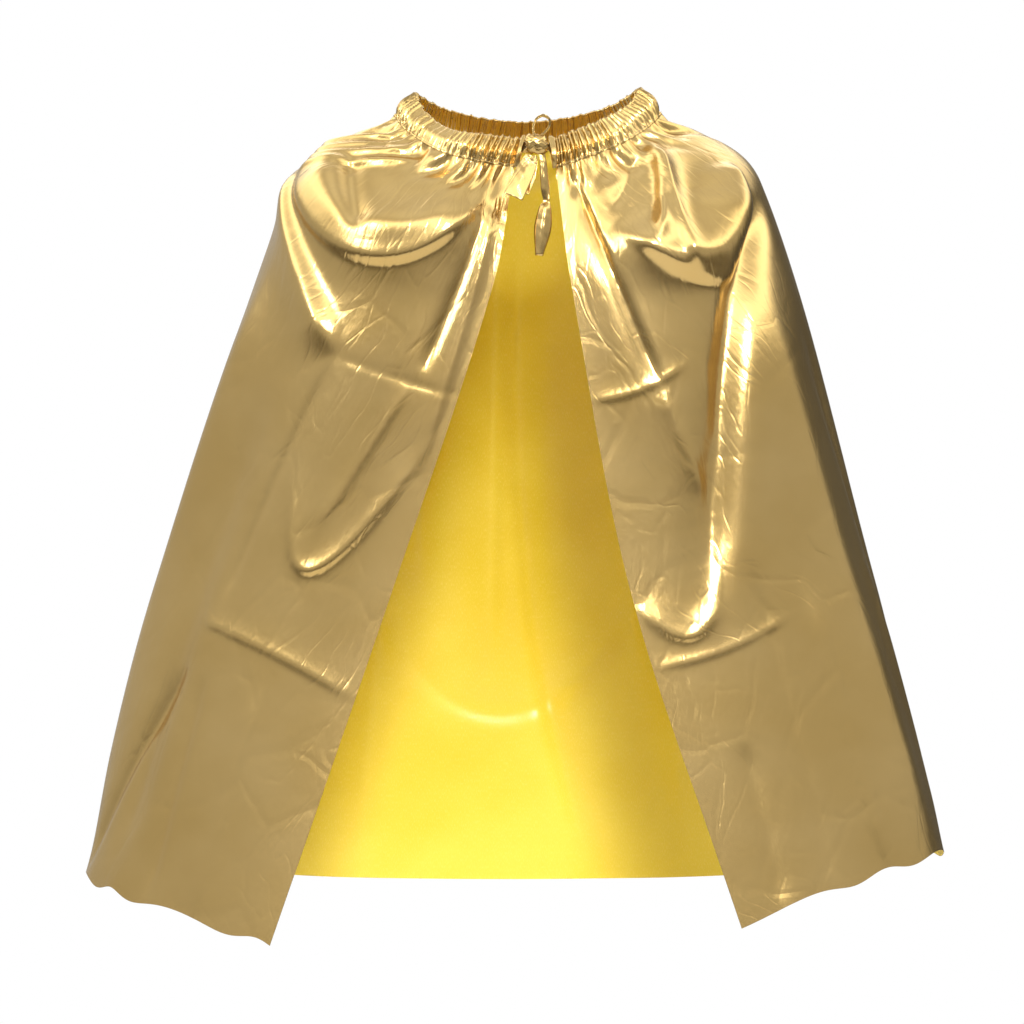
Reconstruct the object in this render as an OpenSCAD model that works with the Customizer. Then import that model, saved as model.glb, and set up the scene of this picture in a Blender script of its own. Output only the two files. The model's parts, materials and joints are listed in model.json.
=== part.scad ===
// Gathered cape of foil-faced cloth: a plain rectangle drawn in at the neck by a flat tie that
// runs through a casing and is knotted in front. Millimetres, +Z up, the wearer faces -Y.
// Left and right are those of a person who looks at the cape's front, so left is -X.
// The origin is the middle of the neck opening.

/* [Neck] */
// Width of the neck opening, between the middles of the casing's walls
neck_w = 210; // [190:5:225]
// Depth of the neck opening, front to back
neck_d = 200; // [185:5:215]
// Thickness of the hollow casing at its fullest
casing_t = 8; // [7:0.5:10]

/* [Drape] */
// Width of the cape over the shoulders
shoulder_w = 440; // [410:5:470]
// Width of the hem as the cape hangs
hem_w = 818; // [760:2:860]
// Depth of the hem, front edges to back
hem_d = 344; // [315:2:375]
// Height from the middle of the neck opening down to the lowest hem corner
drop = 755; // [690:5:820]
// Depth of the soft folds at the shoulders
fold_depth = 5; // [0:0.5:7]
// Number of soft folds round the cape
fold_count = 11; // [7:1:13]

/* [Cloth] */
// Thickness of the cloth solids, fuller than the cloth itself
cloth_t = 1.6; // [1.2:0.1:2]
// Clearance along a line where the cloth turns
turn_gap = 4; // [3:0.5:5]

/* [Tie] */
// Width of the tie where it lies flat
tie_w = 22; // [18:1:24]
// Thickness of the tie, which is sewn double
tie_t = 1.2; // [1:0.1:1.5]
// Length of the left tail below the knot
left_tail_l = 48; // [40:1:55]
// Length of the right tail below the knot
right_tail_l = 98; // [85:1:110]

/* [Hidden] */
GOLD = [0.72, 0.60, 0.36];
THREAD = [0.55, 0.42, 0.20];

// Stretch of the rings to the driving dimensions.
neck_x = neck_w / 210;
neck_y = neck_d / 200;
shoulder_x = shoulder_w / 440;
hem_x = hem_w / 818;
hem_y = hem_d / 344;
fall = drop / 755;

// Each ring runs from the left front edge round the back to the right front edge, and its points
// are equal steps of the cloth's width apart.
TOP_RING = stretch(neck_x, neck_y, 1, [
    [-6, -104, -31], [-40, -101, -27], [-72, -84, -20], [-94, -54, 0], [-104, -18, 22], [-102, 22, 27],
    [-82, 62, 22], [-45, 87, 16], [0, 96, 13], [45, 88, 17], [82, 63, 24], [103, 23, 31], [106, -18, 27],
    [95, -52, 8], [74, -80, -8], [46, -98, -22], [22, -104, -32]]);
SEAM_RING = stretch(neck_x, neck_y, 1, [
    [-12, -112, -59], [-48, -108, -53], [-84, -92, -40], [-112, -58, -18], [-124, -18, 0], [-121, 28, 4],
    [-98, 72, -3], [-54, 103, -12], [0, 113, -15], [54, 103, -11], [98, 73, -2], [122, 29, 5],
    [126, -18, 2], [114, -58, -14], [88, -90, -34], [54, -107, -50], [26, -112, -60]]);
SHOULDER_RING = stretch(shoulder_x, 1, 1, [
    [-32, -138, -171], [-100, -142, -168], [-165, -118, -140], [-208, -60, -86], [-220, 8, -56],
    [-196, 72, -70], [-140, 112, -95], [-75, 130, -108], [-6, 136, -112], [64, 132, -108],
    [132, 114, -94], [192, 74, -70], [220, 10, -55], [212, -56, -82], [170, -114, -136],
    [104, -142, -166], [40, -138, -171]]);
WAIST_RING = stretch((shoulder_x + hem_x) / 2, (1 + hem_y) / 2, fall, [
    [-124, -150, -451], [-210, -128, -447], [-290, -78, -442], [-345, -5, -440], [-325, 80, -441],
    [-250, 126, -444], [-170, 146, -447], [-92, 153, -448], [-12, 155, -449], [68, 153, -448],
    [148, 146, -446], [228, 128, -442], [302, 84, -437], [333, 6, -432], [290, -76, -434],
    [200, -128, -443], [94, -150, -451]]);
HEM_RING = stretch(hem_x, hem_y, fall, [
    [-228, -176, -755], [-310, -120, -738], [-385, -56, -724], [-422, 28, -719], [-378, 108, -724],
    [-295, 144, -733], [-202, 158, -740], [-108, 165, -743], [-14, 168, -744], [80, 166, -743],
    [174, 158, -740], [266, 140, -732], [346, 94, -716], [394, 16, -698], [372, -68, -690],
    [290, -126, -708], [189, -176, -737]]);
RINGS = [SEAM_RING, SHOULDER_RING, WAIST_RING, HEM_RING];
// How far down the cloth each ring lies, as a share of the way from the seam to the hem.
LEVELS = [0, 0.16, 0.58, 1];
seam_to_hem = 768 * fall;
RING_STEPS = 16;
COLUMNS_PER_STEP = 4;

// The lines on which the cloth turns, in ring steps across and shares of its length down: one
// straight line to the hem at each front corner, and an arch with both its feet at the hem behind.
CORNER_TOP = 0.5;
CORNER_END = 2.5;
BACK_START = 5;
BACK_TOP = 0.55;
TIP = 0.985;
BODY_ROWS = 16;
TURNED_ROWS = 8;

// The casing is a flattened tube, and its hollow is the tunnel for the tie.
CASING_STATIONS = 64;
CASING_SIDES = 14;
CASING_WALL = 1.3;
SEAM_CLEARANCE = 1.2;
TUNNEL_TIE_W = tie_w * 0.7;
STITCH_COUNT = 72;
STITCH_L = 5.5;
STITCH_R = 0.5;
STITCH_ANGLE = 52;

KNOT = [8, -133 * neck_y, -41];
KNOT_SIZE = [22, 13, 19];
KNOT_STRAND = 1.1;
KNOT_GAP = 1.6;
// Height from the knot's middle to where the loop and the tails begin.
knot_reach = KNOT_SIZE.z / 2 * KNOT_STRAND + KNOT_GAP;
LOOP_R = 6.5;
LOOP_W = 11;
LOOP_H = 17;

function stretch(x, y, z, ring) = [for (p = ring) [p.x * x, p.y * y, p.z * z]];
function mix(a, b, t) = a * (1 - t) + b * t;
function unit(a) = a / norm(a);
function smooth(t) = let(c = min(max(t, 0), 1)) c * c * (3 - 2 * c);

// The curve through four points in a row, between the second and the third.
function spline(a, b, c, d, t) =
    (2 * b + (c - a) * t + (2 * a - 5 * b + 4 * c - d) * t * t + (3 * b - a - 3 * c + d) * t * t * t) / 2;
// A point of a ring, u ring steps along it.
function on_ring(ring, u) =
    let(last = len(ring) - 1, i = max(min(floor(u), last - 1), 0),
        before = i > 0 ? ring[i - 1] : 2 * ring[0] - ring[1],
        after = i < last - 1 ? ring[i + 2] : 2 * ring[last] - ring[last - 1])
    spline(before, ring[i], ring[i + 1], after, u - i);

// The slope of a column of points at its level i, and the curve down the column below that level.
function slope(column, i) =
    let(a = max(i - 1, 0), b = min(i + 1, len(column) - 1))
    (column[b] - column[a]) / (LEVELS[b] - LEVELS[a]);
function on_column(column, i, v) =
    let(h = LEVELS[i + 1] - LEVELS[i], t = (v - LEVELS[i]) / h)
    (1 + 2 * t) * pow(1 - t, 2) * column[i] + t * pow(1 - t, 2) * h * slope(column, i)
    + t * t * (3 - 2 * t) * column[i + 1] + t * t * (t - 1) * h * slope(column, i + 1);

// The drape without folds: u ring steps across, v from the seam at 0 to the hem at 1.
function drape(u, v) =
    on_column([for (r = RINGS) on_ring(r, u)], v < LEVELS[1] ? 0 : v < LEVELS[2] ? 1 : 2, v);
function outward(u, v) =
    let(e = 0.02)
    unit(cross(drape(u + e, v) - drape(u - e, v), drape(u, min(v + e, 1)) - drape(u, max(v - e, 0))));
function fold(u, v) =
    fold_depth * smooth(v / LEVELS[1]) * pow(1 - v, 1.5) * cos(360 * fold_count * u / RING_STEPS);
// A point of the cloth, offset outward from its middle.
function cloth(u, v, offset) = drape(u, v) + (fold(u, v) + offset) * outward(u, v);

// The share of the cloth's length at which it turns, or 1 where it hangs plain to the hem.
function turn_line(u) =
    let(m = min(u, RING_STEPS - u), half = RING_STEPS / 2)
    m <= CORNER_END ? mix(CORNER_TOP, TIP, m / CORNER_END)
    : m < BACK_START ? 1
    : mix(BACK_TOP, TIP, pow((half - m) / (half - BACK_START), 2));
gap_share = turn_gap / 2 / seam_to_hem;
above_turn = function(u) turn_line(u) < 1 ? turn_line(u) - gap_share : 1;
below_turn = function(u) turn_line(u) + gap_share;
seam = function(u) 0;
hem = function(u) 1;

// A closed sheet from the points of its two faces, each a list of rows of equal length.
module sheet(outer, inner) {
    rows = len(outer);
    columns = len(outer[0]);
    half = rows * columns;
    function at(r, c) = r * columns + c;
    function two(a, b, c, d) = [[a, b, c], [a, c, d]];
    polyhedron(
        points = concat([for (row = outer, p = row) p], [for (row = inner, p = row) p]),
        faces = [
            for (r = [0:rows - 2], c = [0:columns - 2]) each concat(
                two(at(r, c), at(r + 1, c), at(r + 1, c + 1), at(r, c + 1)),
                two(half + at(r, c), half + at(r, c + 1), half + at(r + 1, c + 1), half + at(r + 1, c))),
            for (c = [0:columns - 2]) each concat(
                two(at(0, c), at(0, c + 1), half + at(0, c + 1), half + at(0, c)),
                two(at(rows - 1, c), half + at(rows - 1, c),
                    half + at(rows - 1, c + 1), at(rows - 1, c + 1))),
            for (r = [0:rows - 2]) each concat(
                two(at(r, 0), half + at(r, 0), half + at(r + 1, 0), at(r + 1, 0)),
                two(at(r, columns - 1), at(r + 1, columns - 1),
                    half + at(r + 1, columns - 1), half + at(r, columns - 1)))]);
}

// One zone of the cloth, from u to u across and between two lines down.
module zone(left, right, top, bottom, rows) {
    columns = ceil((right - left) * COLUMNS_PER_STEP);
    function u_at(c) = mix(left, right, c / columns);
    function v_at(r, u) = mix(top(u), bottom(u), r / rows);
    function face(offset) = [for (r = [0:rows])
        [for (c = [0:columns]) cloth(u_at(c), v_at(r, u_at(c)), offset)]];
    color(GOLD) sheet(face(cloth_t / 2), face(-cloth_t / 2));
}

side_gap = turn_gap / 2 * RING_STEPS / 1500;

module cape_cloth() { zone(0, RING_STEPS, seam, above_turn, BODY_ROWS); }
module front_corner_left() { zone(0, CORNER_END - side_gap, below_turn, hem, TURNED_ROWS); }
module front_corner_right() {
    zone(RING_STEPS - CORNER_END + side_gap, RING_STEPS, below_turn, hem, TURNED_ROWS);
}
module back_drape() {
    zone(BACK_START + side_gap, RING_STEPS - BACK_START - side_gap, below_turn, hem, TURNED_ROWS);
}

// The casing's cross-section at u is an ellipse whose long axis runs down from the top edge.
function casing_down(u) = on_ring(SEAM_RING, u) - on_ring(TOP_RING, u);
function casing_middle(u) = (on_ring(SEAM_RING, u) + on_ring(TOP_RING, u)) / 2;
function casing_along(u) = let(e = 0.05) unit(casing_middle(u + e) - casing_middle(u - e));
function casing_out(u) = unit(cross(casing_along(u), casing_down(u)));
// A point of a tube in the casing: angle 0 is its lowest line and 90 its outermost.
function casing_point(u, angle, inset) =
    let(half_h = norm(casing_down(u)) / 2 - SEAM_CLEARANCE - inset, half_t = casing_t / 2 - inset)
    casing_middle(u) + half_h * cos(angle) * unit(casing_down(u)) + half_t * sin(angle) * casing_out(u);

module neck_casing() {
    function loop(i, inset) = [for (k = [0:CASING_SIDES])
        casing_point(i * RING_STEPS / CASING_STATIONS, 360 * k / CASING_SIDES, inset)];
    n = CASING_SIDES;
    m = (CASING_STATIONS + 1) * n;
    function at(i, k) = i * n + k % n;
    function two(a, b, c, d) = [[a, b, c], [a, c, d]];
    points = [for (inset = [0, CASING_WALL], i = [0:CASING_STATIONS], k = [0:n - 1]) loop(i, inset)[k]];
    color(GOLD) polyhedron(points = points, faces = [
        for (i = [0:CASING_STATIONS - 1], k = [0:n - 1]) each concat(
            two(at(i, k), at(i + 1, k), at(i + 1, k + 1), at(i, k + 1)),
            two(m + at(i, k), m + at(i, k + 1), m + at(i + 1, k + 1), m + at(i + 1, k))),
        for (k = [0:n - 1]) each concat(
            two(at(0, k), at(0, k + 1), m + at(0, k + 1), m + at(0, k)),
            two(at(CASING_STATIONS, k), m + at(CASING_STATIONS, k),
                m + at(CASING_STATIONS, k + 1), at(CASING_STATIONS, k + 1)))]);
}

// Short stitches of thread on the casing's outside, a little above its lower edge.
module casing_stitches() {
    color(THREAD) for (i = [0:STITCH_COUNT - 1]) {
        u = (i + 0.5) * RING_STEPS / STITCH_COUNT;
        centre = casing_point(u, STITCH_ANGLE, -STITCH_R - 0.3);
        along = casing_along(u);
        translate(centre)
            rotate([0, acos(along.z), atan2(along.y, along.x)])
                cylinder(h = STITCH_L, r = STITCH_R, center = true, $fn = 24);
    }
}

// The tie inside the casing, with both its ends brought out to the sides of the knot.
module drawstring() {
    ends = [
        KNOT + [-KNOT_SIZE.x / 2 - KNOT_GAP, 0, 0],
        KNOT + [KNOT_SIZE.x / 2 + KNOT_GAP, 0, 0]];
    stations = [for (i = [0:CASING_STATIONS]) i * RING_STEPS / CASING_STATIONS];
    down = [0, 0, -1];
    middles = concat([ends[0]], [for (u = stations) casing_middle(u)], [ends[1]]);
    downs = concat([down], [for (u = stations) unit(casing_down(u))], [down]);
    outs = concat([[0, -1, 0]], [for (u = stations) casing_out(u)], [[0, -1, 0]]);
    function edge(sign, offset) = [for (i = [0:len(middles) - 1])
        middles[i] + downs[i] * sign * TUNNEL_TIE_W / 2 + outs[i] * offset];
    color(GOLD) sheet([edge(-1, tie_t / 2), edge(1, tie_t / 2)], [edge(-1, -tie_t / 2), edge(1, -tie_t / 2)]);
}

// A rounded knot with the strand that wraps it.
module knot() {
    color(GOLD) translate(KNOT) {
        scale(KNOT_SIZE / 2) sphere(r = 1, $fn = 48);
        rotate([0, 90, 0])
            scale([KNOT_SIZE.z / 2, KNOT_SIZE.y / 2, 1])
                rotate_extrude($fn = 48)
                    translate([KNOT_STRAND - 0.4, 0]) scale([0.4, 4]) circle(r = 1, $fn = 24);
    }
}

// A short loop of the tie that stands up from the knot.
module bow_loop() {
    function outline(r) = concat(
        [for (a = [-30:15:210]) [r * cos(a), LOOP_H - LOOP_R + r * sin(a)]],
        [[-r / 3, r / 6], [r / 3, r / 6]]);
    color(GOLD) translate(KNOT + [5, LOOP_W / 2, knot_reach])
        rotate([90, 0, 0])
            linear_extrude(height = LOOP_W) difference() {
                polygon(outline(LOOP_R));
                translate([0, tie_t]) polygon(outline(LOOP_R - tie_t));
            }
}

// The left tail is the tie folded double; it falls to the left.
module tail_left() {
    lean = 16;
    color(GOLD) translate(KNOT + [-2, tie_t, -knot_reach])
        rotate([90, 0, 0])
            linear_extrude(height = 2 * tie_t)
                polygon([[-4, 0], [3, 0], [-lean + tie_w / 2, -left_tail_l],
                         [-lean - tie_w / 2, -left_tail_l + 8]]);
}

// The right tail is folded narrow and opens into two pointed lobes at its end.
module tail_right() {
    narrow = tie_w / 4;
    twist = 0.52 * right_tail_l;
    color(GOLD) translate(KNOT + [8, tie_t, -knot_reach])
        rotate([90, 0, 0])
            linear_extrude(height = 2 * tie_t)
                polygon([[-narrow, 0], [narrow, 0], [narrow - 1, -twist], [narrow + 1, -right_tail_l + 4],
                         [-1, -right_tail_l + 12], [-narrow - 4, -right_tail_l], [-narrow, -twist]]);
}

cape_cloth();
front_corner_left();
front_corner_right();
back_drape();
neck_casing();
casing_stitches();
drawstring();
knot();
bow_loop();
tail_left();
tail_right();
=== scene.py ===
"""Looks of the gathered cape: foil-faced cloth hung from a tied neck casing.

The cloth is laid on the shape of the CAD cape, gathered at the neck and relaxed as cloth, so that
small folds run down from its gathers. Its larger folds and its creases are then raised as heights
along curves. Positions are in metres in the row frame. "u" counts 16 equal steps across the cloth,
from the left front edge round the back to the right front edge, and "v" runs from the casing's
seam, 0, to the hem, 1.
"""
import json
import math

import bpy
import numpy as np
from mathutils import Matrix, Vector


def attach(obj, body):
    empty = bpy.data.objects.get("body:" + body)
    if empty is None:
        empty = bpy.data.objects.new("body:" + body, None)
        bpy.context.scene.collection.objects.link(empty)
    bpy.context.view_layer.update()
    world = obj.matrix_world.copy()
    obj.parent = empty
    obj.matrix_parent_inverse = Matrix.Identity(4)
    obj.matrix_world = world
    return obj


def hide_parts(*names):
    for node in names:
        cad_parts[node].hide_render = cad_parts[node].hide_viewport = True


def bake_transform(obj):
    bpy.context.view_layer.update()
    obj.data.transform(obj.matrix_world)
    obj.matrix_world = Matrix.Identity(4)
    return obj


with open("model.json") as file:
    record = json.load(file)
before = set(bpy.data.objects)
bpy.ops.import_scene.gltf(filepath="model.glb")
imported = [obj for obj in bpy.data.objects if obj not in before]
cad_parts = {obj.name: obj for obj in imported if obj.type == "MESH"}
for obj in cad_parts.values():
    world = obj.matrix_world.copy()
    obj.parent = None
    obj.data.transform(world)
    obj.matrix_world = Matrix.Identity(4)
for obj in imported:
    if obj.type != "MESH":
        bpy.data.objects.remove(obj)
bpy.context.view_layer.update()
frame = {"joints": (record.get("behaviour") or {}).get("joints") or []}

MM = 0.001
STEPS = 16
CUT_WIDTH = 1.5
CUT_LENGTH = 0.8
CLOTH_THICKNESS = 0.5 * MM
HEM_WAVE = 3 * MM

# The neck's top edge and seam, then the cloth over the shoulders, at the waist and at the hem.
# They are the rings that the CAD cape is made on, and their points are equal steps of u apart.
TOP_RING = MM * np.array([
    [-6, -104, -31], [-40, -101, -27], [-72, -84, -20], [-94, -54, 0], [-104, -18, 22], [-102, 22, 27],
    [-82, 62, 22], [-45, 87, 16], [0, 96, 13], [45, 88, 17], [82, 63, 24], [103, 23, 31], [106, -18, 27],
    [95, -52, 8], [74, -80, -8], [46, -98, -22], [22, -104, -32]])
SEAM_RING = MM * np.array([
    [-12, -112, -59], [-48, -108, -53], [-84, -92, -40], [-112, -58, -18], [-124, -18, 0], [-121, 28, 4],
    [-98, 72, -3], [-54, 103, -12], [0, 113, -15], [54, 103, -11], [98, 73, -2], [122, 29, 5],
    [126, -18, 2], [114, -58, -14], [88, -90, -34], [54, -107, -50], [26, -112, -60]])
SHOULDER_RING = MM * np.array([
    [-32, -138, -171], [-100, -142, -168], [-165, -118, -140], [-208, -60, -86], [-220, 8, -56],
    [-196, 72, -70], [-140, 112, -95], [-75, 130, -108], [-6, 136, -112], [64, 132, -108],
    [132, 114, -94], [192, 74, -70], [220, 10, -55], [212, -56, -82], [170, -114, -136],
    [104, -142, -166], [40, -138, -171]])
WAIST_RING = MM * np.array([
    [-124, -150, -451], [-210, -128, -447], [-290, -78, -442], [-345, -5, -440], [-325, 80, -441],
    [-250, 126, -444], [-170, 146, -447], [-92, 153, -448], [-12, 155, -449], [68, 153, -448],
    [148, 146, -446], [228, 128, -442], [302, 84, -437], [333, 6, -432], [290, -76, -434],
    [200, -128, -443], [94, -150, -451]])
HEM_RING = MM * np.array([
    [-228, -176, -755], [-310, -120, -738], [-385, -56, -724], [-422, 28, -719], [-378, 108, -724],
    [-295, 144, -733], [-202, 158, -740], [-108, 165, -743], [-14, 168, -744], [80, 166, -743],
    [174, 158, -740], [266, 140, -732], [346, 94, -716], [394, 16, -698], [372, -68, -690],
    [290, -126, -708], [189, -176, -737]])
CLOTH_RINGS = np.array([SEAM_RING, SHOULDER_RING, WAIST_RING, HEM_RING])
# How far down the cloth each of these four rings lies.
LEVELS = (0, 0.16, 0.58, 1)

# The cloth is relaxed on finer and finer grids: columns, rows, passes, seconds per pass, smoothings.
GRIDS = ((128, 80, 260, 0.003, 2), (256, 160, 90, 0.002, 3), (512, 320, 30, 0.001, 3))
FINEST_COLUMNS = GRIDS[-1][0]
PULL_OF_GRAVITY = 5.0
BENDING = 0.02
# How much of its speed the cloth keeps from one pass to the next.
KEPT_SPEED = 0.98
# How far inside the CAD cape's surface the cloth may sink.
INSET = 8 * MM
# Gathers at the neck: broad ones at the seam, and narrow ruffles in the casing above it.
GATHERS = 46
RUFFLES = 100
GATHER_DEPTH = 3.4 * MM
RUFFLE_DEPTH = 4.8 * MM
# Both walls of the casing, from seam to seam.
CASING_CUT = 60 * MM
# How far the casing reaches past the cloth's front edges, in u.
CASING_OVERHANG = 0.12
CASING_STATIONS = 1020
CASING_SIDES = 24
# Half the space between the casing's walls: at its edges, and how much more in the middle.
CASING_EDGE = 0.5 * MM
CASING_BULGE = 3.2 * MM
STITCHES = 400
STITCH_RADIUS = 0.28 * MM
# Where the stitches lie: how high on the casing, and how far out from its middle.
STITCH_RISE = 0.07
STITCH_OUT = 1.35 * MM
# The knot's middle, in millimetres, as are the points of the tie's loop and tails below.
KNOT = (8, -132, -41)

# Folds. Each is its height, the widths of its slopes on the left and right hand, its start, its end
# and its bow, which is how far the middle of its curve lies from the straight line between the ends.
# Heights and widths are millimetres, and places on the cloth are (u, v). Left and right are as seen
# by somebody who faces the cloth's outer side and walks along the fold. A negative height is a valley.
STRAIGHT = (0, 0)
LEFT_FOLDS = (
    (20, 34, 36, (3.3, 0.08), (0.5, 0.05), (0, 0.065)),       # the pouch below the neck
    (4.5, 12, 3.5, (3.6, 0.11), (0.4, 0.03), (-0.4, 0.095)),    # its rim
    (-10, 14, 6, (3, 0.07), (1.9, 0.14), STRAIGHT),           # a tuck in the pouch
    (11, 10, 26, (3.8, 0.13), (1.6, 0.29), (-0.1, -0.01)),    # the column below the shoulder
    (7, 26, 26, (2.9, 0.2), (3.2, 1), STRAIGHT),
    (-6, 22, 16, (2.3, 0.35), (2.1, 1), STRAIGHT),
)
RIGHT_FOLDS = (
    (16, 40, 24, (15, 0.1), (13.2, 0.12), (0.1, 0.07)),       # the pouch below the neck
    (5, 15, 3.5, (15.1, 0.11), (13.8, 0.22), (-0.1, 0.04)),   # its rim
    (11, 6, 30, (12.9, 0.1), (14, 0.23), STRAIGHT),           # its sharp outer edge
    (-17, 15, 17, (12.9, 0.16), (15.4, 0.62), (0.15, -0.09)),  # the deep valley below the shoulder
    (8, 24, 26, (13.6, 0.22), (13.9, 1), (0.2, 0)),
    (-7, 18, 14, (13.1, 0.3), (13.2, 1), STRAIGHT),
)
BACK_FOLDS = (
    (-7, 22, 11, (7.7, 0.05), (7.7, 0.72), STRAIGHT),
    (7, 10, 22, (8, 0.08), (8.9, 1), (-0.3, 0)),
    (-6, 20, 12, (9.3, 0.06), (9.5, 0.72), STRAIGHT),
    (6, 14, 22, (6.6, 0.06), (6.8, 0.62), STRAIGHT),
    (4, 12, 30, (6.1, 0.6), (9.6, 0.6), (0, 0.17)),           # the sag low in the middle
)
HANG_FOLDS = tuple((5 * (-1) ** k, 20, 16, (u, 0.08), (u, 1), (0.04, 0))
                   for k, u in enumerate((4.3, 5.0, 5.7, 6.3, 9.9, 10.6, 11.3, 12.0)))
SHOULDER_FAN = tuple((7, 4, 7, (2.9 - 0.25 * k, 0.006 * k), (3.85 - 0.12 * k, 0.1 + 0.01 * k), STRAIGHT)
                     for k in range(4))
LEFT_CREASES = (
    (-6, 5, 5, (0.4, 0.07), (0.5, 0.28), STRAIGHT),           # the furrow beside the front edge
    (3.2, 3, 9, (0.25, 0.03), (0.15, 0.4), STRAIGHT),
    (3.8, 4, 13, (0.15, 0.36), (1.5, 0.42), (0.1, 0.16)),     # the hook of cloth at half length
    (-1, 6, 1.6, (1.6, 0.29), (0, 0.3), STRAIGHT),            # creases from its packet
    (2.2, 12, 2, (2.1, 0.65), (0, 0.69), (0, -0.01)),
    (-3.5, 4, 5, (1.6, 0.3), (1.8, 0.62), STRAIGHT),
    (1.8, 2, 10, (0.6, 0.3), (1, 0.5), STRAIGHT),
    (-7, 6, 12, (2, 0.7), (2.8, 1), STRAIGHT),                # furrows that run out at the hem
    (-4, 4, 8, (1.7, 0.7), (1.5, 1), STRAIGHT),
    (2.4, 3, 12, (1, 0.7), (0.9, 1), STRAIGHT),
)
RIGHT_CREASES = (
    (13, 16, 4, (13.4, 0), (14.7, 0.15), (0.05, 0)),          # the pleats that fall from the neck
    (9, 12, 4, (13.6, 0.03), (14.4, 0.2), (0.2, 0)),
    (-4, 7, 7, (13.9, 0.02), (15, 0.08), STRAIGHT),
    (-7, 3, 7, (15.5, 0.01), (15.2, 0.32), STRAIGHT),         # the furrow beside the front edge
    (3, 3, 9, (15.2, 0.32), (15.1, 0.47), STRAIGHT),
    (1.6, 6, 2, (16, 0.31), (14.8, 0.3), (0, 0.01)),          # creases from its packet
    (1.8, 7, 2, (16, 0.66), (14.7, 0.65), (0, 0.01)),
    (3.5, 14, 4, (16, 0.57), (15.3, 0.6), (0, 0.05)),         # the end of the valley
    (3, 6, 14, (14.6, 0.28), (15.5, 0.66), (-0.1, 0)),
    (-3.5, 5, 9, (14.9, 0.56), (15.1, 1), STRAIGHT),          # furrows that run out at the hem
    (4, 12, 5, (14.5, 0.62), (14.6, 1), STRAIGHT),
    (-4, 9, 6, (15.5, 0.78), (15.6, 1), STRAIGHT),
    (3, 5, 12, (13.5, 0.6), (13.4, 1), STRAIGHT),
)
ROUND_FOLDS = LEFT_FOLDS + RIGHT_FOLDS + BACK_FOLDS + HANG_FOLDS
SHARP_FOLDS = SHOULDER_FAN + LEFT_CREASES + RIGHT_CREASES
ROUND_CREST = 1.7
SHARP_CREST = 1.15
FOLD_STEPS = 36

# Where one piece of the cloth ends and the next begins, at places that no joint bends.
CUTS = (0, 3.75, 12.25, 16)

# The camera stands in front of the cape. At its distance, so much shows on each side of its axis.
CAMERA_DISTANCE = 2.5
HALF_WIDTH_SHOWN = 0.4864
# In millimetres, as the lens is.
SENSOR_WIDTH = 36


def smooth(t):
    t = np.clip(t, 0, 1)
    return t * t * (3 - 2 * t)


def bump(x, centre, width):
    return np.exp(-((x - centre) / width) ** 2)


def through(points, t, axis=0):
    """Catmull-Rom curve through rows of points; t counts rows."""
    points = np.moveaxis(points, axis, 0)
    last = len(points) - 1
    t = np.asarray(t, float)
    i = np.clip(np.floor(t).astype(int), 0, last - 1)
    f = (t - i).reshape(-1, *([1] * (points.ndim - 1)))
    ends = np.concatenate([2 * points[:1] - points[1:2], points, 2 * points[-1:] - points[-2:-1]])
    a, b, c, d = ends[i], ends[i + 1], ends[i + 2], ends[i + 3]
    curve = (2 * b + (c - a) * f + (2 * a - 5 * b + 4 * c - d) * f ** 2
             + (3 * b - a - 3 * c + d) * f ** 3) / 2
    return np.moveaxis(curve, 0, axis)


def unit(vectors):
    return vectors / np.maximum(np.linalg.norm(vectors, axis=-1, keepdims=True), 1e-12)


# ---------------------------------------------------------------- the cloth's shape

def drape(columns, rows):
    """The cape's shape without folds, as rows of points an equal length apart down each column."""
    u = np.linspace(0, STEPS, columns + 1)
    rings = np.array([through(r, u) for r in CLOTH_RINGS])
    last = len(LEVELS) - 1
    slopes = []
    for i in range(last + 1):
        a, b = max(i - 1, 0), min(i + 1, last)
        slopes.append((rings[b] - rings[a]) / (LEVELS[b] - LEVELS[a]))
    fine = []
    for v in np.linspace(0, 1, rows * 4 + 1):
        i = 0 if v < LEVELS[1] else 1 if v < LEVELS[2] else 2
        h = LEVELS[i + 1] - LEVELS[i]
        t = (v - LEVELS[i]) / h
        fine.append((1 + 2 * t) * (1 - t) ** 2 * rings[i] + t * (1 - t) ** 2 * h * slopes[i]
                    + t * t * (3 - 2 * t) * rings[i + 1] + t * t * (t - 1) * h * slopes[i + 1])
    fine = np.array(fine)
    shape = np.zeros((rows + 1, columns + 1, 3))
    for c in range(columns + 1):
        line = fine[:, c]
        run = np.concatenate([[0], np.cumsum(np.linalg.norm(np.diff(line, axis=0), axis=1))])
        even = np.linspace(0, run[-1], rows + 1)
        for k in range(3):
            shape[:, c, k] = np.interp(even, run, line[:, k])
    return shape


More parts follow.
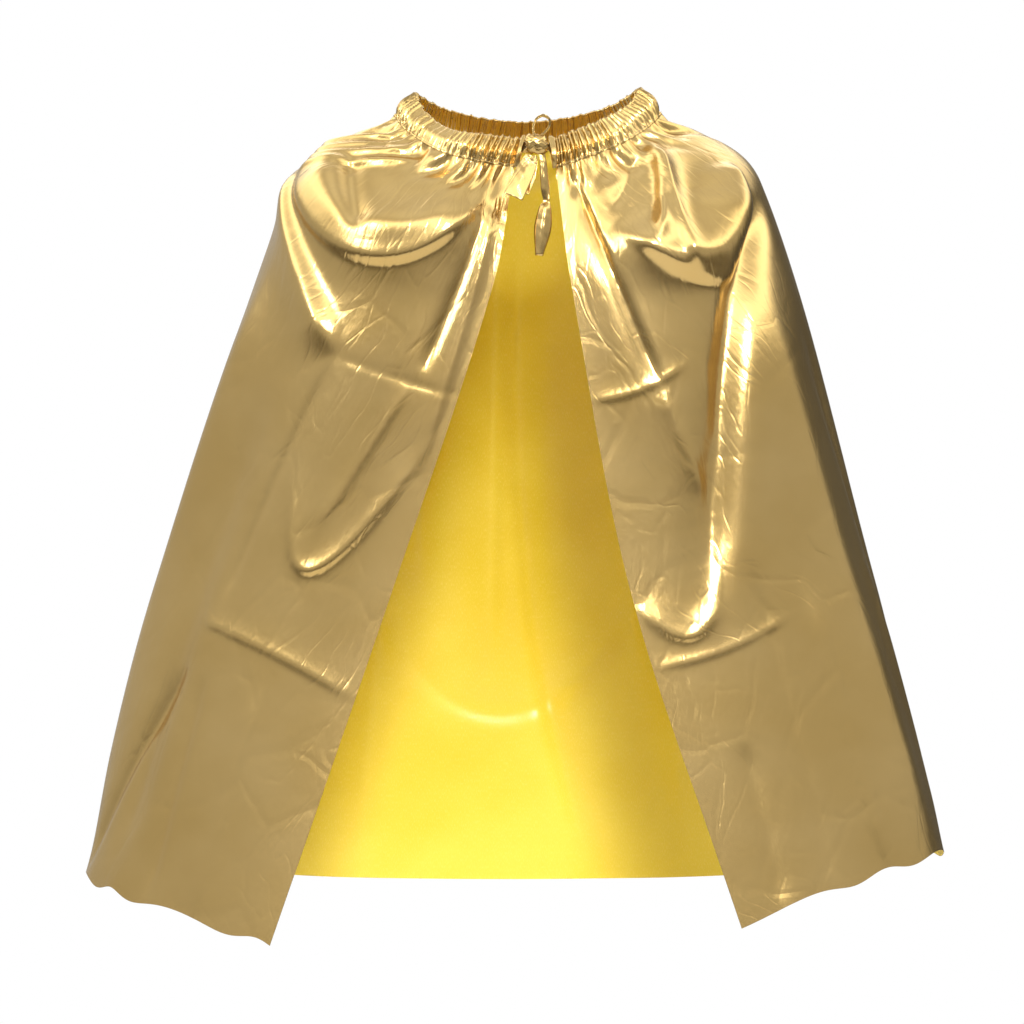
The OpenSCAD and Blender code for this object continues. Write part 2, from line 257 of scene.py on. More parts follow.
def folds(columns, rows, lines, crest):
    """Heights of the folds over a grid of columns and rows. A crest of 1 is a ridge, and 2 is round."""
    u, v = np.meshgrid(np.linspace(0, STEPS, columns + 1), np.linspace(0, 1, rows + 1))
    girths = np.linalg.norm(np.diff(CLOTH_RINGS, axis=1), axis=2).sum(1)
    total = np.zeros_like(u)
    t = np.linspace(0, 1, FOLD_STEPS)[:, None]
    for height, left_width, right_width, start, end, bow in lines:
        path = (1 - t) * np.array(start) + t * np.array(end) + 4 * t * (1 - t) * np.array(bow)
        step_width = np.interp(path[:, 1], LEVELS, girths) / STEPS
        ends = smooth(1.6 * np.sin(math.pi * np.linspace(0.03, 0.97, len(path))))
        reach = 3 * MM * max(left_width, right_width) / CUT_LENGTH
        band = slice(max(int(rows * (path[:, 1].min() - reach)) - 1, 0),
                     int(rows * (path[:, 1].max() + reach)) + 2)
        nearest = np.full(u[band].shape, np.inf)
        here = np.zeros_like(nearest)
        for k in range(len(path) - 1):
            right = -(u[band] - path[k, 0]) * step_width[k]
            up = -(v[band] - path[k, 1]) * CUT_LENGTH
            go_right = -(path[k + 1, 0] - path[k, 0]) * step_width[k]
            go_up = -(path[k + 1, 1] - path[k, 1]) * CUT_LENGTH
            part = (right * go_right + up * go_up) / (go_right ** 2 + go_up ** 2)
            part = np.clip(part, 0, 1)
            away = np.hypot(right - part * go_right, up - part * go_up)
            on_left = go_right * up - go_up * right > 0
            slope = away / (MM * np.where(on_left, left_width, right_width))
            height_here = (ends[k] + part * (ends[k + 1] - ends[k])) * np.exp(-slope ** crest)
            here = np.where(away < nearest, height_here, here)
            nearest = np.minimum(nearest, away)
        total[band] += MM * height * here
    for _ in range(2):
        total[1:-1, 1:-1] += (total[:-2, 1:-1] + total[2:, 1:-1] + total[1:-1, :-2] + total[1:-1, 2:]
                              - 4 * total[1:-1, 1:-1]) / 6
    return total


def outward(shape):
    return unit(np.cross(np.gradient(shape, axis=1), np.gradient(shape, axis=0)))


def pleats(u, count, seed):
    """In and out of so many pleats along the neck, from -1 to 1, of uneven width and depth."""
    chance = np.random.default_rng(seed)
    ends = np.concatenate([[0], np.cumsum(chance.uniform(0.6, 1.4, count))])
    ends = STEPS * ends / ends[-1]
    turns = np.interp(u, ends, np.arange(count + 1))
    depth = np.interp(u, (ends[:-1] + ends[1:]) / 2, chance.uniform(0.45, 1.0, count))
    # They are shallower to the left and the right of the knot and at the back.
    flat_part = 1 - 0.85 * bump(u, 2.1, 0.75) - 0.5 * bump(u, 13.4, 0.6) - 0.6 * bump(u, 8, 3.2)
    sharp = 1 - 2 * np.abs(np.sin(math.pi * turns)) ** 0.8
    finer = 1 - 2 * np.abs(np.sin(2.3 * math.pi * turns + 0.7))
    return (0.75 * sharp + 0.25 * finer) * depth * flat_part


def keep_length(p, first, second, rest, strength, free):
    """Move pairs of neighbouring points so that they are their rest length apart."""
    apart = p[second] - p[first]
    length = np.linalg.norm(apart, axis=2, keepdims=True)
    a, b = free[first], free[second]
    move = strength * (length - rest) / (length * (a + b) + 1e-12) * apart
    p[first] += move * a
    p[second] -= move * b


def spread(p):
    """How far each point lies from the middle of its neighbours."""
    bend = np.zeros_like(p)
    bend[:, 1:-1] += p[:, :-2] + p[:, 2:] - 2 * p[:, 1:-1]
    bend[1:-1] += p[:-2] + p[2:] - 2 * p[1:-1]
    return bend


def relax(p, shape, normal, across, down, pull, top, passes, seconds, smoothings):
    """Let the cloth p fall and fold over shape, with its rest lengths across and down."""
    rows, columns = p.shape[0] - 1, p.shape[1] - 1
    free = np.ones((rows + 1, columns + 1, 1))
    free[0] = 0
    slant = np.hypot((down[:, :-1] + down[:, 1:]) / 2, (across[:-1] + across[1:]) / 2)
    every = slice(None)
    fall = np.array([0, 0, -PULL_OF_GRAVITY * seconds ** 2])
    before = p.copy()
    for _ in range(passes):
        speed = KEPT_SPEED * (p - before)
        before = p.copy()
        p = p + speed + fall * free
        p += pull * (shape - p)
        for o in (0, 1):
            keep_length(p, (slice(o, rows, 2), every), (slice(o + 1, rows + 1, 2), every),
                        down[o:rows:2], 1, free)
            keep_length(p, (every, slice(o, columns, 2)), (every, slice(o + 1, columns + 1, 2)),
                        across[:, o:columns:2], 1, free)
        for r in (0, 1):
            for c in (0, 1):
                near, far = slice(r, rows, 2), slice(r + 1, rows + 1, 2)
                left, right = slice(c, columns, 2), slice(c + 1, columns + 1, 2)
                keep_length(p, (near, left), (far, right), slant[near, left], 0.35, free)
                keep_length(p, (near, right), (far, left), slant[near, left], 0.35, free)
        for _ in range(smoothings):
            p -= BENDING * spread(spread(p)) * free
        depth = ((p - shape) * normal).sum(2, keepdims=True)
        p += np.maximum(-INSET - depth, 0) * normal * free
        p[0] = top
    return p


def hang_cloth():
    """The whole cloth as rows of points from the seam to the hem."""
    chance = np.random.default_rng(9)
    phases = chance.uniform(0, 2 * math.pi, 6)
    p = None
    for columns, rows, passes, seconds, smoothings in GRIDS:
        u = np.linspace(0, STEPS, columns + 1)
        v = np.linspace(0, 1, rows + 1)
        v_mid = (v[:-1] + v[1:])[:, None] / 2
        edge = np.minimum(u, STEPS - u)[None, :, None]
        level = v[:, None, None]
        ones = np.ones((rows + 1, columns + 1, 1))
        shape = drape(columns, rows)
        normal = outward(shape)
        width = np.linalg.norm(np.diff(shape, axis=1), axis=2)
        # The cloth is wider than its shape at the seam and a little over the shoulders.
        spare = 1.003 + 0.22 * bump(v, 0, 0.022) + 0.015 * bump(v, 0.2, 0.15)
        across = (width * spare[:, None])[:, :, None]
        # It is longer than its shape just below the seam.
        slack = 1.002 + 0.03 * bump(v_mid, 0.10, 0.08)
        down = (np.linalg.norm(np.diff(shape, axis=0), axis=2) * slack)[:, :, None]
        gather = GATHER_DEPTH * min(1, columns / FINEST_COLUMNS) * pleats(u, GATHERS, 4)
        top = shape[0] + normal[0] * gather[:, None]
        # It is drawn to its shape softly, more firmly at the front edges and most of all at the hem.
        pull = (0.03 * smooth((level - 0.02) / 0.08) + 0.25 * (level > 0.999)
                + 0.04 * smooth((0.3 - edge) / 0.3)) * ones
        if p is None:
            waves = sum(np.cos(2 * math.pi * u / STEPS * n + a)
                        for n, a in zip((9, 11, 13, 17, 19, 23), phases))
            start = np.sqrt(spare - 1)[:, None] * waves[None, :] * 5 * MM
            p = shape + normal * start[:, :, None]
            p[0] = top
        else:
            old_rows, old_columns = p.shape[0] - 1, p.shape[1] - 1
            p = through(p, np.linspace(0, old_rows, rows + 1))
            p = through(p, np.linspace(0, old_columns, columns + 1), axis=1)
        p = relax(p, shape, normal, across, down, pull, top, passes, seconds, smoothings)
    below_seam = smooth(v / 0.03)[:, None]
    p = p + normal * (folds(columns, rows, ROUND_FOLDS, ROUND_CREST) * below_seam)[:, :, None]
    near_hem = smooth((v - 0.8) / 0.2)[:, None]
    in_front = smooth(4.2 - edge[0, :, 0])
    p[..., 2] += HEM_WAVE * near_hem * in_front * np.sin(7 * u + np.sin(3 * u))
    return p + normal * (folds(columns, rows, SHARP_FOLDS, SHARP_CREST) * below_seam)[:, :, None]


# ---------------------------------------------------------------- meshes

def make_object(name, points, faces, materials, face_materials=None, flat=None, normals=None):
    mesh = bpy.data.meshes.new(name)
    mesh.from_pydata(np.asarray(points).reshape(-1, 3).tolist(), [], [list(f) for f in faces])
    for material in materials:
        mesh.materials.append(material)
    if face_materials is not None:
        mesh.polygons.foreach_set("material_index", np.asarray(face_materials, dtype=np.int32))
    mesh.shade_smooth()
    if flat is not None:
        layer = mesh.uv_layers.new(name="flat")
        corners = np.empty(len(mesh.loops), dtype=np.int32)
        mesh.loops.foreach_get("vertex_index", corners)
        layer.data.foreach_set("uv", np.asarray(flat, float)[corners].ravel())
    if normals is not None:
        mesh.normals_split_custom_set_from_vertices(np.asarray(normals).reshape(-1, 3).tolist())
    made = bpy.data.objects.new(name, mesh)
    bpy.context.collection.objects.link(made)
    return made


def grid_faces(rows, columns, start=0, flip=False):
    """Quads of a grid of points; they face outward on the cloth's outer side."""
    at = start + np.arange(rows * columns).reshape(rows, columns)
    around = [at[:-1, :-1], at[:-1, 1:], at[1:, 1:], at[1:, :-1]]
    if flip:
        around.reverse()
    return np.stack(around, -1).reshape(-1, 4)


def cloth_piece(name, grid, normal, first, last, materials):
    """Columns first to last of the cloth, with both its faces and its open edges closed."""
    part = grid[:, first:last + 1]
    n = normal[:, first:last + 1]
    rows, columns = part.shape[:2]
    half = rows * columns
    outer = part + n * CLOTH_THICKNESS / 2
    inner = part - n * CLOTH_THICKNESS / 2
    faces = [grid_faces(rows, columns), grid_faces(rows, columns, half, flip=True)]
    slots = [0] * len(faces[0]) + [1] * len(faces[1])
    at = np.arange(half).reshape(rows, columns)
    for rim in (at[-1], at[0, ::-1], at[:, 0], at[::-1, -1]):
        quads = np.stack([rim[:-1], rim[1:], rim[1:] + half, rim[:-1] + half], -1)
        faces.append(quads)
        slots += [0] * len(quads)
    across = np.linspace(0, CUT_WIDTH, grid.shape[1])[first:last + 1]
    down = np.linspace(0, CUT_LENGTH, rows)
    flat = np.stack(np.meshgrid(across, down), -1).reshape(-1, 2)
    return make_object(name, np.concatenate([outer.reshape(-1, 3), inner.reshape(-1, 3)]),
                       np.concatenate(faces), materials, slots, np.concatenate([flat, flat]),
                       np.concatenate([n.reshape(-1, 3), -n.reshape(-1, 3)]))


def casing_frame(u):
    """At each u: the casing's seam and top points, and its downward, outward and along directions."""
    seam, top = through(SEAM_RING, u), through(TOP_RING, u)
    along = unit(np.gradient((seam + top) / 2, axis=0))
    down = unit(seam - top)
    return seam, top, down, unit(np.cross(along, down)), along


def casing_surface(u, rise, out):
    """Points of the ruffled casing: rise is 0 at the seam and 1 at the top edge, out is the wall's offset."""
    seam, top, _, outside, along = casing_frame(u)
    lean = 0.10 * np.sin(1.3 * u) + 0.07 * np.sin(3.1 * u + 1)
    in_casing = smooth(rise / 0.25)
    ruffle = ((1 - in_casing) * GATHER_DEPTH * pleats(u, GATHERS, 4)
              + in_casing * RUFFLE_DEPTH * pleats(u + lean * rise, RUFFLES, 7))
    scallop = 1.6 * MM * pleats(u, GATHERS, 5) * rise
    height = (top - seam) * rise[:, None] if np.ndim(rise) else (top - seam) * rise
    crest = unit(top - seam) * (scallop[:, None] if np.ndim(scallop) else scallop)
    return seam + height + crest + outside * (ruffle + out)[:, None]


def casing_tube():
    """The turned-over neck edge: an outer and an inner wall that part round the tie and meet at the seam."""
    u = np.linspace(-CASING_OVERHANG, STEPS + CASING_OVERHANG, CASING_STATIONS + 1)
    rings = []
    for k in range(CASING_SIDES):
        turn = 2 * math.pi * k / CASING_SIDES
        rise = (1 - math.cos(turn)) / 2
        wall = math.sin(turn) * (CASING_EDGE + CASING_BULGE * math.sin(math.pi * rise) ** 1.5)
        rings.append(casing_surface(u, np.full_like(u, rise), np.full_like(u, wall)))
    points = np.array(rings).transpose(1, 0, 2)
    n = CASING_SIDES
    at = np.arange((CASING_STATIONS + 1) * n).reshape(-1, n)
    nxt = np.roll(at, -1, axis=1)
    faces = np.stack([at[:-1], at[1:], nxt[1:], nxt[:-1]], -1).reshape(-1, 4)
    walk = np.linspace(0, CASING_CUT, n)
    flat = np.stack(np.meshgrid(walk, u * CUT_WIDTH / STEPS)[::-1], -1).reshape(-1, 2)
    tube = make_object("neck_casing_cloth", points, faces, [FOIL], flat=flat)
    skin = tube.modifiers.new("cloth", "SOLIDIFY")
    skin.thickness = CLOTH_THICKNESS
    skin.offset = -1
    return tube


def rod(points, radius, sides=6):
    """A closed thin rod along the points, as its vertices and faces."""
    points = np.asarray(points, float)
    along = unit(np.gradient(points, axis=0))
    side = unit(np.cross(along, np.array([0.13, 0.21, 0.97])))
    up = np.cross(side, along)
    turn = np.linspace(0, 2 * math.pi, sides, endpoint=False)[None, :, None]
    radii = np.full(len(points), radius)
    radii[[0, -1]] = 0.4 * radius
    spoke = np.cos(turn) * side[:, None] + np.sin(turn) * up[:, None]
    ring = points[:, None] + radii[:, None, None] * spoke
    at = np.arange(len(points) * sides).reshape(-1, sides)
    nxt = np.roll(at, -1, axis=1)
    faces = np.stack([at[:-1], nxt[:-1], nxt[1:], at[1:]], -1).reshape(-1, 4).tolist()
    return ring.reshape(-1, 3), faces + [at[0].tolist(), at[-1][::-1].tolist()]


def stitch_row():
    """Stitches in a row just above the seam, each a short rod that follows the pleats."""
    points, faces = [], []
    count = 0
    pitch = STEPS / STITCHES
    for i in range(STITCHES):
        u = np.linspace((i + 0.14) * pitch, (i + 0.86) * pitch, 4)
        line = casing_surface(u, np.full_like(u, STITCH_RISE), np.full_like(u, STITCH_OUT))
        line[0] = line[0] - (line[1] - line[0]) * 0.05
        made, quads = rod(line, STITCH_RADIUS)
        points.append(made)
        faces += [[count + k for k in f] for f in quads]
        count += len(made)
    return make_object("casing_stitch_row", np.concatenate(points), faces, [THREAD])


def ribbon(name, line, widths, facing, fold=None, thickness=0.6 * MM, rows=60, across=16, doubled=0):
    """A band along line, which is in millimetres. Fold lifts its middle towards facing. A doubled band is
    folded in two lengthwise, with its halves that far apart, so that it is as wide again as it looks."""
    line, widths = MM * np.asarray(line, float), MM * np.asarray(widths, float)
    facing = np.asarray(facing, float)
    fold = MM * np.asarray([0] * len(line) if fold is None else fold, float)
    t = np.linspace(0, len(line) - 1, rows + 1)
    path, width, face, lift = through(line, t), through(widths, t), unit(through(facing, t)), through(fold, t)
    along = unit(np.gradient(path, axis=0))
    side = unit(np.cross(along, face))
    face = np.cross(side, along)
    s = np.linspace(-1, 1, across + 1)
    crumple = 0.2 * MM * np.sin(5 * s[None, :] + 9 * t[:, None]) * np.sin(2.3 * t[:, None] + 1)
    sideways = 2 * np.sqrt(s ** 2 + 0.004) - 1 if doubled else s
    layer = MM * doubled * np.clip(4 * s, -1, 1) / 2
    middle = (path[:, None] + side[:, None] * (width[:, None] / 2 * sideways)[..., None]
              + face[:, None] * (lift[:, None] * (1 - np.abs(sideways)) + crumple + layer)[..., None])
    normal = unit(np.cross(np.gradient(middle, axis=0), np.gradient(middle, axis=1)))
    half = (rows + 1) * (across + 1)
    faces = [grid_faces(rows + 1, across + 1, 0, flip=True), grid_faces(rows + 1, across + 1, half)]
    at = np.arange(half).reshape(rows + 1, across + 1)
    for rim in (at[-1, ::-1], at[0], at[::-1, 0], at[:, -1]):
        faces.append(np.stack([rim[:-1], rim[1:], rim[1:] + half, rim[:-1] + half], -1))
    points = np.concatenate([middle + normal * thickness / 2, middle - normal * thickness / 2])
    length = np.concatenate([[0], np.cumsum(np.linalg.norm(np.diff(path, axis=0), axis=1))])
    flat = np.stack([np.broadcast_to(width.max() / 2 * s, (rows + 1, across + 1)),
                     np.broadcast_to(length[:, None], (rows + 1, across + 1))], -1).reshape(-1, 2)
    return make_object(name, points, np.concatenate(faces), [FOIL], flat=np.concatenate([flat, flat]))


def lump(name, centre, radii, seed=3):
    """A crumpled ball of cloth."""
    bpy.ops.mesh.primitive_uv_sphere_add(segments=48, ring_count=32, radius=1)
    made = bpy.context.object
    made.name = name
    made.data.name = name
    chance = np.random.default_rng(seed)
    at = np.array([v.co for v in made.data.vertices])
    size = np.ones(len(at))
    for _ in range(4):
        # a wave of dents in a chance direction
        direction = unit(chance.normal(size=3))
        size += 0.05 * np.sin(chance.uniform(2, 5) * (at @ direction) + chance.uniform(0, 6))
    at = MM * np.asarray(centre) + at * size[:, None] * MM * np.asarray(radii)
    made.data.vertices.foreach_set("co", at.ravel())
    made.data.shade_smooth()
    layer = made.data.uv_layers[0]
    layer.name = "flat"
    corners = np.empty(2 * len(made.data.loops), dtype=np.float32)
    layer.data.foreach_get("uv", corners)
    layer.data.foreach_set("uv", corners * 60 * MM)
    made.data.materials.append(FOIL)
    return made


def wrap_round(name, centre, radii, tilt, width):
    """A band once round the knot, in a plane tilted from the vertical."""
    turn = np.linspace(0, 2 * math.pi, 17)
    c, s = math.cos(math.radians(tilt)), math.sin(math.radians(tilt))
    flat_ring = np.stack([radii[0] * np.cos(turn), radii[1] * np.sin(turn)], 1)
    line = [[centre[0] + c * a, centre[1] + b, centre[2] + s * a] for a, b in flat_ring]
    facing = [[c * a / radii[0], b / radii[1], s * a / radii[0]] for a, b in flat_ring]
    return ribbon(name, line, [width] * 17, facing, fold=[0.8] * 17, rows=72)


# ---------------------------------------------------------------- materials

def new_material(name):
    material = bpy.data.materials.new(name)
    material.use_nodes = True
    return material, material.node_tree.nodes, material.node_tree.links


def noise(nodes, links, coordinates, scale, detail=4, stretch=(1, 1, 1)):
    """Noise over the coordinates, stretched per axis."""
    mapping = nodes.new("ShaderNodeMapping")
    mapping.inputs["Scale"].default_value = stretch
    links.new(coordinates, mapping.inputs["Vector"])
    texture = nodes.new("ShaderNodeTexNoise")
    texture.inputs["Scale"].default_value = scale
    texture.inputs["Detail"].default_value = detail
    links.new(mapping.outputs["Vector"], texture.inputs["Vector"])
    return texture.outputs["Fac"]


def spread_range(nodes, links, value, low, high, out_low, out_high):
    ramp = nodes.new("ShaderNodeMapRange")
    for name, number in (("From Min", low), ("From Max", high), ("To Min", out_low), ("To Max", out_high)):
        ramp.inputs[name].default_value = number
    links.new(value, ramp.inputs["Value"])
    return ramp.outputs["Result"]


def mix_colours(nodes, links, factor, first, second):
    mix = nodes.new("ShaderNodeMix")
    mix.data_type = "RGBA"
    mix.inputs[6].default_value = (*first, 1)
    mix.inputs[7].default_value = (*second, 1)
    links.new(factor, mix.inputs[0])
    return mix.outputs[2]


def add_bumps(nodes, links, layers):
    """Bumps one over another; each layer is its height, distance in metres and strength."""
    last = None
    for height, distance, strength in layers:
        node = nodes.new("ShaderNodeBump")
        node.inputs["Distance"].default_value = distance
        node.inputs["Strength"].default_value = strength
        links.new(height, node.inputs["Height"])
        if last is not None:
            links.new(last, node.inputs["Normal"])
        last = node.outputs["Normal"]
    return last


def creases(nodes, links, coordinates, scale, stretch):
    """A net of thin straight creases, bent a little by noise, over the coordinates."""
    bent = nodes.new("ShaderNodeVectorMath")
    bent.operation = "MULTIPLY_ADD"
    bent.inputs[1].default_value = (0.09, 0.09, 0)
    links.new(noise(nodes, links, coordinates, 6, 3), bent.inputs[0])
    links.new(coordinates, bent.inputs[2])
    mapping = nodes.new("ShaderNodeMapping")
    mapping.inputs["Scale"].default_value = stretch
    links.new(bent.outputs["Vector"], mapping.inputs["Vector"])
    cells = nodes.new("ShaderNodeTexVoronoi")
    cells.feature = "DISTANCE_TO_EDGE"
    cells.inputs["Scale"].default_value = scale
    links.new(mapping.outputs["Vector"], cells.inputs["Vector"])
    return spread_range(nodes, links, cells.outputs["Distance"], 0, 0.05, 0, 1)


def foil(name, metallic=0.95, roughness=(0.15, 0.27)):
    """Gold foil on a fine knit: a soft mirror with small crinkles and a faint lengthwise grain."""
    material, nodes, links = new_material(name)
    shader = nodes["Principled BSDF"]
    flat = nodes.new("ShaderNodeUVMap")
    flat.uv_map = "flat"
    here = flat.outputs["UV"]
    wear = noise(nodes, links, here, 9, 5)
    colour = mix_colours(nodes, links, spread_range(nodes, links, wear, 0.35, 0.65, 0, 1),
                         (0.64, 0.445, 0.165), (0.70, 0.50, 0.205))
    links.new(colour, shader.inputs["Base Color"])
    shader.inputs["Metallic"].default_value = metallic
    grain = noise(nodes, links, here, 220, 3, (6, 1, 1))
    links.new(spread_range(nodes, links, grain, 0.3, 0.7, *roughness), shader.inputs["Roughness"])
    crinkle = noise(nodes, links, here, 22, 6)
    streaks = noise(nodes, links, here, 60, 4, (5, 1, 1))
    packing = creases(nodes, links, here, 9, (1.6, 0.8, 1))
    small_creases = creases(nodes, links, here, 24, (2.2, 0.6, 1))
    links.new(add_bumps(nodes, links, [
        (packing, 0.5 * MM, 0.4), (small_creases, 0.25 * MM, 0.4), (crinkle, 2 * MM, 0.2),
        (streaks, 0.5 * MM, 0.35), (grain, 0.12 * MM, 0.3)]), shader.inputs["Normal"])
    return material


def reverse_side(name):
    """The smooth yellow back of the cloth."""
    material, nodes, links = new_material(name)
    shader = nodes["Principled BSDF"]
    flat = nodes.new("ShaderNodeUVMap")
    flat.uv_map = "flat"
    here = flat.outputs["UV"]
    tint = noise(nodes, links, here, 7, 4)
    colour = mix_colours(nodes, links, spread_range(nodes, links, tint, 0.35, 0.65, 0, 1),
                         (0.80, 0.60, 0.045), (0.86, 0.67, 0.075))
    links.new(colour, shader.inputs["Base Color"])
    grain = noise(nodes, links, here, 260, 3, (6, 1, 1))
    links.new(spread_range(nodes, links, grain, 0.3, 0.7, 0.18, 0.32), shader.inputs["Roughness"])
    shader.inputs["Specular IOR Level"].default_value = 0.6
    crinkle = noise(nodes, links, here, 22, 6)
    links.new(add_bumps(nodes, links, [(crinkle, 3 * MM, 0.22), (grain, 0.15 * MM, 0.3)]),
              shader.inputs["Normal"])
    return material


def thread(name):
    material, nodes, links = new_material(name)
    shader = nodes["Principled BSDF"]
    place = nodes.new("ShaderNodeTexCoord")
    tint = noise(nodes, links, place.outputs["Object"], 900, 2)
    links.new(mix_colours(nodes, links, tint, (0.42, 0.29, 0.10), (0.62, 0.46, 0.20)),
              shader.inputs["Base Color"])
    shader.inputs["Roughness"].default_value = 0.55
    return material


FOIL = foil("gold_foil")
REVERSE = reverse_side("yellow_reverse")
THREAD = thread("sewing_thread")


# ---------------------------------------------------------------- the pieces

def hang_pieces():
    """The cloth in three pieces, each with its placement baked into its mesh."""
    cloth = hang_cloth()
    normal = outward(cloth)
    cuts = [round(u * (cloth.shape[1] - 1) / STEPS) for u in CUTS]
    names = ("cloth_left", "cloth_back", "cloth_right")
    every_row = (1, 2, 1)
    left, back, right = (cloth_piece(name, cloth[::k], normal[::k], first, last, [FOIL, REVERSE])
                         for name, k, first, last in zip(names, every_row, cuts, cuts[1:]))
    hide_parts("cape_cloth", "back_drape")
    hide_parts("front_corner_left")
    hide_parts("front_corner_right")
    hinge = {joint["child"]: joint["pos_m"] for joint in frame["joints"]}
    bend(left, "corner_left", hinge["corner_left"], (0.446, -0.590, -0.676), 0.12)
    bend(right, "corner_right", hinge["corner_right"], (-0.45, -0.59, -0.67), 0.12)
    bend(back, "lower_back", (0, 0.17, -0.434), (0, 0.92, -0.24), 0.084)


def bend(piece, body, start, direction, length):
    """Bake the piece's placement into its mesh; it is not bent, and body, start, direction and length are not
    used.
    """
    start = np.array(start)
    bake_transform(piece)


def sew_casing():
    casing = casing_tube()
    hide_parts("neck_casing")
    stitches = stitch_row()
    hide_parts("casing_stitches")
    for piece, slot in ((casing, "foil_cloth"), (stitches, "thread")):
        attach(piece, "cape_body")


def thread_tie():
    """The tie inside the casing, with its ends brought out to the knot."""
    stations = 41
    seam, top, _, outside, _ = casing_frame(np.linspace(0, STEPS, stations))
    left_end, right_end = [[KNOT[0] + side, -131, -42] for side in (-6, 6)]
    end_facing = [[0, -1, 0.6]]
    line = np.concatenate([[left_end], (seam + top) / 2 / MM, [right_end]])
    facing = np.concatenate([end_facing, outside, end_facing])
    widths = [13, 21, 20] + [18] * (stations - 4) + [20, 21, 13]
    tie = ribbon("tie_in_casing", line, widths, facing, rows=300, across=6)
    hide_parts("drawstring")
    return tie


def tie_knot():
    """The knot: a crumpled core and the two wraps of the tie round it."""
    core = lump("knot_core", KNOT, (9.4, 5.4, 8.2))
    wraps = [wrap_round("knot_wrap", KNOT, (10.8, 7.0), -36, 7.5),
             wrap_round("knot_strand", (KNOT[0], -131.6, KNOT[2]), (9.6, 6.5), 44, 7)]
    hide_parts("knot")
    return [core, *wraps]


def stand_loop():
    """The half bow's loop, which stands up from the knot."""
    line = [[6, -135, -35], [5, -134, -28], [7, -133, -20], [13, -132.5, -15.5], [19, -132, -18],
            [20, -131.5, -24], [16, -131, -30], [10, -131, -35]]
    facing = [[-1, 0, 0.2], [-1, 0, 0], [-0.7, 0, 0.7], [0, 0, 1], [0.8, 0, 0.6], [1, 0, -0.3],
              [0.6, 0, -0.8], [0.4, 0, -0.9]]
    loop = ribbon("bow_loop_band", line, [8, 9, 9.5, 9.5, 9.5, 9, 9, 8], facing, rows=64, doubled=1.1)
    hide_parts("bow_loop")
    return loop


def hang_left_tail():
    """The left tail, and the narrow fold of the tie that shows beside it."""
    tail_line = [[3.5, -133.5, -51.5], [0.5, -135, -60], [-4.5, -139.5, -71], [-13, -146.5, -90]]
    tail = ribbon("left_tail_band", tail_line, [11, 15.5, 17.5, 18], [[0.1, -1, 0.3]] * 4,
                  fold=[0.8, 1.2, 1.4, 0.5])
    fold_line = [[6, -132.5, -51.5], [5.5, -133.5, -60], [3, -136, -72], [-1.5, -141, -87]]
    under = ribbon("left_tail_fold", fold_line, [5, 7, 8, 5], [[-0.2, -1, 0.3]] * 4, fold=[0.5, 1, 1, 0])
    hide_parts("tail_left")
    return tail, under


def hang_right_tail():
    """The right tail, folded narrow, twisted half way down and fuller below."""
    line = [[13, -132, -49.5], [14.5, -133, -62], [16, -133, -80], [17, -133.5, -92], [16, -134, -100],
            [14, -135.5, -118], [10.5, -137, -142]]
    facing = [[0.3, -1, 0]] * 3 + [[-0.5, -1, 0]] + [[-0.1, -1, 0.1]] * 3
    tail = ribbon("right_tail_band", line, [6, 7, 8.5, 6.5, 12, 16, 7], facing,
                  fold=[0.5, 1, 1, -1.5, 3.5, 4.5, 2], doubled=1)
    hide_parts("tail_right")
    return tail


def tie_bow():
    """The whole tie: its length in the casing, the knot, the loop and the two tails."""
    tie = thread_tie()
    knot = tie_knot()
    loop = stand_loop()
    left_tail, under_tail = hang_left_tail()
    right_tail = hang_right_tail()
    for piece in (tie, *knot):
        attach(piece, "cape_body")
    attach(loop, "bow")
    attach(left_tail, "left_tail")
    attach(under_tail, "left_tail")
    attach(right_tail, "right_tail")


hang_pieces()
sew_casing()
tie_bow()


# ---------------------------------------------------------------- light, floor and camera

def area_light(name, place, aim, size, power, colour=(1, 1, 1)):
    lamp = bpy.data.lights.new(name, "AREA")
    lamp.shape = "DISK"
    lamp.size = size
    lamp.energy = power
    lamp.color = colour
    made = bpy.data.objects.new(name, lamp)
    made.location = place
    made.rotation_euler = (Vector(aim) - Vector(place)).to_track_quat("-Z", "Y").to_euler()
    bpy.context.collection.objects.link(made)
    return made


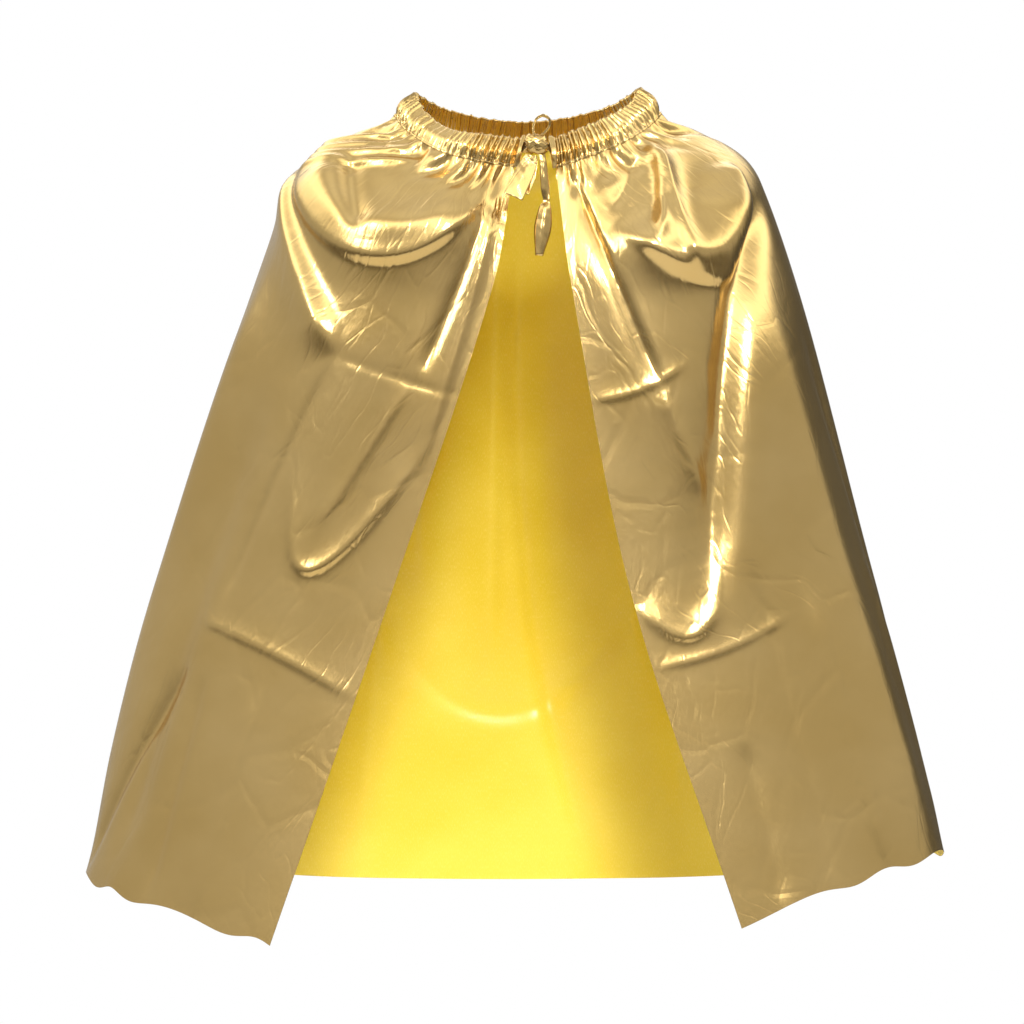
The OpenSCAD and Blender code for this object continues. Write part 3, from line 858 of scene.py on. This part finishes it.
def light_world():
    """A pale room: bright overhead, darker round the horizon; the camera sees plain white."""
    world = bpy.data.worlds.new("room")
    bpy.context.scene.world = world
    world.use_nodes = True
    nodes, links = world.node_tree.nodes, world.node_tree.links
    room = nodes["Background"]
    place = nodes.new("ShaderNodeTexCoord")
    axes = nodes.new("ShaderNodeSeparateXYZ")
    links.new(place.outputs["Generated"], axes.inputs[0])
    height = spread_range(nodes, links, axes.outputs["Z"], -1, 1, 0, 1)
    ramp = nodes.new("ShaderNodeValToRGB")
    links.new(height, ramp.inputs[0])
    stops = ramp.color_ramp.elements
    stops[0].position, stops[0].color = 0.30, (0.10, 0.085, 0.07, 1)
    stops[1].position, stops[1].color = 1, (1.0, 0.99, 0.97, 1)
    for at, brightness in ((0.5, 0.50), (0.68, 0.54), (0.77, 2.4), (0.85, 2.2), (0.90, 1.1), (0.95, 0.7)):
        stops.new(at).color = (brightness, 0.97 * brightness, 0.91 * brightness, 1)
    links.new(ramp.outputs[0], room.inputs["Color"])
    facing = nodes.new("ShaderNodeVectorMath")
    facing.operation = "DOT_PRODUCT"
    facing.inputs[1].default_value = (0.64, 0.77, 0)
    links.new(place.outputs["Generated"], facing.inputs[0])
    shade = spread_range(nodes, links, facing.outputs["Value"], 0.72, 0.95, 1, 0.18)
    links.new(shade, room.inputs["Strength"])
    white = nodes.new("ShaderNodeBackground")
    white.inputs["Color"].default_value = (1, 1, 1, 1)
    path = nodes.new("ShaderNodeLightPath")
    mix = nodes.new("ShaderNodeMixShader")
    links.new(path.outputs["Is Camera Ray"], mix.inputs[0])
    links.new(room.outputs[0], mix.inputs[1])
    links.new(white.outputs[0], mix.inputs[2])
    links.new(mix.outputs[0], nodes["World Output"].inputs["Surface"])


def lay_floor():
    bpy.ops.mesh.primitive_circle_add(vertices=96, radius=2.2, fill_type="NGON", location=(0, 0, -1.45))
    floor = bpy.context.object
    floor.name = "floor"
    material, nodes, _ = new_material("floor")
    nodes["Principled BSDF"].inputs["Base Color"].default_value = (0.74, 0.73, 0.71, 1)
    nodes["Principled BSDF"].inputs["Roughness"].default_value = 0.7
    floor.data.materials.append(material)


def hang_lights():
    """A narrow lamp high in front, and a broad one from the left."""
    key = area_light("key", (0.3, -2.9, 1.0), (-0.03, 0.1, -0.90), 0.9, 3.3, (1, 0.98, 0.94))
    key.data.spread = math.radians(24)
    area_light("side", (-1.9, -1.7, 1.1), (0, 0, -0.3), 0.9, 15)


def stand_camera():
    camera = bpy.data.objects.new("camera", bpy.data.cameras.new("camera"))
    bpy.context.collection.objects.link(camera)
    camera.location = (-0.014, -CAMERA_DISTANCE, -0.372)
    camera.rotation_euler = (math.pi / 2, 0, 0)
    camera.data.sensor_width = SENSOR_WIDTH
    camera.data.lens = SENSOR_WIDTH / 2 * CAMERA_DISTANCE / HALF_WIDTH_SHOWN
    bpy.context.scene.camera = camera


bpy.context.scene.view_settings.view_transform = "Standard"
light_world()
hang_lights()
lay_floor()
stand_camera()
